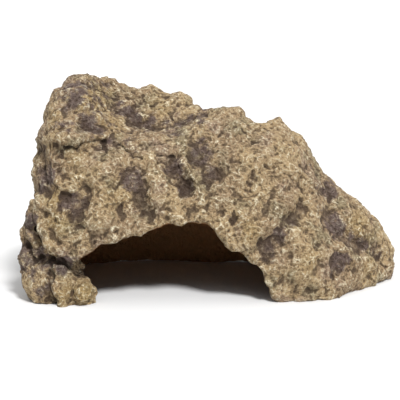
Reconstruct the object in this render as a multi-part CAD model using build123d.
"""Resin cave ornament for an aquarium or terrarium: a hollow rock with an arched mouth.

Two half shells of filled polyester resin, a front and a rear casting, are bonded on a flat joint
that runs over the crest. A leg casting stands under the overhanging left slab, on a small toe
casting of its own. Thin epoxy joints hold the four castings together. Nothing moves.

Frame: millimetres, X along the length, -Y out of the cave mouth, +Z up. The origin is on the
floor, below the middle of the ornament.
"""

from build123d import *
import math
import os

# Driving dimensions
WALL = 8.0           # wall of both half shells
BOND = 0.6           # thickness of every epoxy joint
JOINT_Y = -4.0       # flat joint between the front and rear castings
SEAT_Y = -34.0       # shell edge that the back of the leg is bonded to
SEAT_Z = 64.0        # shell edge that the top of the leg is bonded to
ROOF_GAP = 1.4       # upright thickness of the joint above the toe, in BONDs, as its roof slopes
REACH = 300.0        # longer than the ornament, for cutting tools
BELOW = 4.0          # how far cutting tools run below the floor

# Cross-sections of the rock at right angles to its length, left to right. Each row gives x, the
# foot of the front, then (y, z) of the front belly, brow, front ridge, trough, crest and back,
# and last the foot of the back.
SECTIONS = [
    (-117, -12, (-14, 30), (-17, 62), (-18, 84), (-12, 95), (-4, 91), (4, 60), 6),
    (-113, -36, (-40, 30), (-38, 62), (-28, 92), (-13, 106), (1, 101), (22, 62), 24),
    (-108, -49, (-52, 36), (-49, 72), (-35, 106), (-15, 119), (4, 115), (34, 68), 40),
    (-102, -54, (-58, 40), (-55, 77), (-38, 114), (-16, 129), (6, 126), (43, 71), 49),
    (-94, -56, (-60, 42), (-55, 80), (-36, 121), (-12, 138), (8, 137), (47, 74), 54),
    (-83, -57, (-60, 44), (-54, 84), (-34, 121), (-8, 137), (12, 137), (50, 77), 58),
    (-69, -57, (-60, 46), (-52, 84), (-34, 110), (-8, 119), (15, 135), (50, 80), 60),
    (-53, -57, (-59, 48), (-49, 84), (-34, 103), (-8, 109), (16, 129), (50, 82), 60),
    (-33, -56, (-58, 52), (-48, 84), (-33, 102), (-8, 106), (16, 128), (52, 76), 62),
    (-17, -55, (-57, 54), (-47, 84), (-32, 104), (-8, 110), (16, 122), (50, 74), 61),
    (-5, -55, (-56, 52), (-46, 84), (-30, 107), (-9, 115), (15, 111), (48, 66), 60),
    (9, -55, (-56, 48), (-46, 82), (-30, 108), (-10, 120), (14, 110), (46, 66), 60),
    (29, -54, (-56, 42), (-46, 76), (-29, 102), (-9, 111), (14, 105), (45, 60), 59),
    (43, -53, (-54, 38), (-44, 74), (-27, 102), (-7, 113), (15, 105), (44, 58), 58),
    (57, -52, (-51, 32), (-40, 62), (-22, 88), (-4, 98), (16, 92), (43, 50), 56),
    (75, -49, (-46, 26), (-32, 48), (-16, 65), (1, 72), (18, 69), (40, 40), 53),
    (97, -24, (-26, 22), (-19, 38), (-8, 50), (5, 56), (20, 53), (36, 32), 46),
    (113, -5, (-7, 12), (-3, 24), (4, 35), (12, 40), (21, 37), (31, 20), 37),
    (124, 4, (2, 7), (3, 13), (7, 20), (13, 23), (18, 20), (23, 12), 25),
]
HOLLOW_SECTIONS = slice(1, -2)   # the sections that the hollow follows, inset by the wall
HOLLOW_LENGTH = 0.95             # its length, as a share of theirs

# Lower edge of the front casting, right to left, as (x, z): pier, arch, slab over the leg.
MOUTH = [
    (39, 0), (33, 10), (30, 20), (22, 27), (14, 32), (3, 39), (0, 45), (-4, 50), (-14, 50.5),
    (-29, 50), (-38, 46), (-49, 44), (-58, 41), (-70, 38), (-75, 32), (-86, 26), (-99, 32),
    (-106, 39), (-108, 46), (-110, SEAT_Z),
]

# Level outlines of the two small castings: z, then the lowest and highest x, lowest and highest y.
LEG = [
    (0, -119, -87, -60, -28), (14, -121, -84, -58, -27), (27, -123, -83, -54, -27),
    (40, -123, -90, -50, -28), (54, -119, -98, -49, -29), (68, -116, -103, -46, -31),
]
TOE = [
    (0, -105, -77, -63, -40), (8, -106, -75, -63, -38), (17, -105, -80, -60, -40),
    (28, -104, -89, -56, -42),
]

# The pocket in the leg that holds the toe, as (x, z): its left side upwards, then its roof.
POCKET_SIDE = [(-98, -BELOW), (-98, 2), (-101, 9), (-99.5, 17), (-102, 27)]
POCKET_ROOF = [(-93, 24), (-85, 17), (-60, 17)]
LOBES = 3            # bumps round a level outline
LOBE = 0.06          # how far they stand out, as a share of its size
OUTLINE_POINTS = 10


def inset(points, depth):
    """The open line of points moved inwards, to the right of its direction, by depth."""
    moved = []
    for i, (y, z) in enumerate(points):
        before = points[max(i - 1, 0)]
        after = points[min(i + 1, len(points) - 1)]
        along = Vector(after[0] - before[0], after[1] - before[1]).normalized()
        moved.append((y + along.Y * depth, z - along.X * depth))
    return moved


def section_points(row):
    """x, and the (y, z) points from the foot of the front over the crest to that of the back."""
    x, front, *over, back = row
    return x, [(front, 0), *over, (back, 0)]


def section_wire(x, points):
    """A closed section at x: a spline over the points and a straight floor line."""
    over = Spline(*[(x, y, z) for y, z in points])
    return Wire([over.edge(), Line(over @ 1, over @ 0).edge()])


def rock():
    """The whole rock as one solid block, with no mouth."""
    return Solid.make_loft([section_wire(*section_points(row)) for row in SECTIONS], ruled=True)


def hollow():
    """The space inside the walls, open below."""
    wires = []
    for row in SECTIONS[HOLLOW_SECTIONS]:
        x, points = section_points(row)
        inner = inset(points, WALL)
        inner[0] = (inner[0][0], -BELOW)
        inner[-1] = (inner[-1][0], -BELOW)
        wires.append(section_wire(x * HOLLOW_LENGTH, inner))
    return Solid.make_loft(wires, ruled=True)


def block(x, y, z):
    """A box from three (low, high) spans."""
    size = [high - low for low, high in (x, y, z)]
    middle = [(high + low) / 2 for low, high in (x, y, z)]
    return Pos(*middle) * Box(*size)


def prism(outline, back):
    """A block with an (x, z) outline, from far in front of the rock to y = back."""
    corners = Polyline(*[(x, -REACH, z) for x, z in outline], close=True)
    return Solid.extrude(Face(Wire(corners.edges())), Vector(0, REACH + back, 0))


def mouth():
    """The tool that cuts the arched mouth and the corner where the leg stands."""
    right = MOUTH[0][0]
    return prism([*MOUTH, (-REACH, SEAT_Z), (-REACH, -BELOW), (right, -BELOW)], SEAT_Y)


def pocket(gap):
    """The room for the toe, less a joint of the given thickness at its left and above it."""
    *side, corner = [(x + gap, z) for x, z in POCKET_SIDE]
    roof = [(x, z - ROOF_GAP * gap) for x, z in (corner, *POCKET_ROOF)]
    return prism([*side, *roof, (POCKET_ROOF[-1][0], -BELOW)], 0)


def boulder(levels):
    """A small rock through level outlines, each a closed spline with a few lobes."""
    wires = []
    for z, x_low, x_high, y_low, y_high in levels:
        middle = Vector((x_low + x_high) / 2, (y_low + y_high) / 2, z)
        ring = []
        for i in range(OUTLINE_POINTS):
            turn = math.tau * i / OUTLINE_POINTS
            reach = 1 + LOBE * math.cos(LOBES * turn + z)
            ring.append(middle + Vector((x_high - x_low) / 2 * reach * math.cos(turn),
                                        (y_high - y_low) / 2 * reach * math.sin(turn)))
        wires.append(Wire([Spline(*ring, periodic=True).edge()]))
    return Solid.make_loft(wires)


def everywhere(x=(-REACH, REACH), y=(-REACH, REACH), z=(-REACH, REACH)):
    """A half space, slab or corner: a block that is only bounded where a span is given."""
    return block(x, y, z)


def save(name, shape):
    """Writes one node."""
    export_step(shape, f"parts/{name}.step")


def main():
    """Builds every node and writes it."""
    os.makedirs("parts", exist_ok=True)

    shell = rock() - hollow() - mouth()
    save("front_casting", shell & everywhere(y=(-REACH, JOINT_Y - BOND / 2)))
    save("rear_casting", shell & everywhere(y=(JOINT_Y + BOND / 2, REACH)))
    save("shell_bond", shell & everywhere(y=(JOINT_Y - BOND / 2, JOINT_Y + BOND / 2)))

    leg_blank = boulder(LEG)
    toe_blank = boulder(TOE)
    seats = everywhere(y=(-REACH, SEAT_Y - BOND), z=(0, SEAT_Z - BOND))
    leg = (leg_blank & seats) - pocket(0) - shell - Pos(0, BOND, -BOND) * shell
    save("leg_casting", leg)
    save("toe_casting", (toe_blank & pocket(BOND)) - shell)

    leg_joint = everywhere(y=(-REACH, SEAT_Y), z=(0, SEAT_Z)) - seats
    save("leg_bond", ((rock() - hollow()) & leg_joint & leg_blank) - shell)
    save("toe_bond", ((pocket(0) - pocket(BOND)) & toe_blank & leg_blank) - shell)


main()
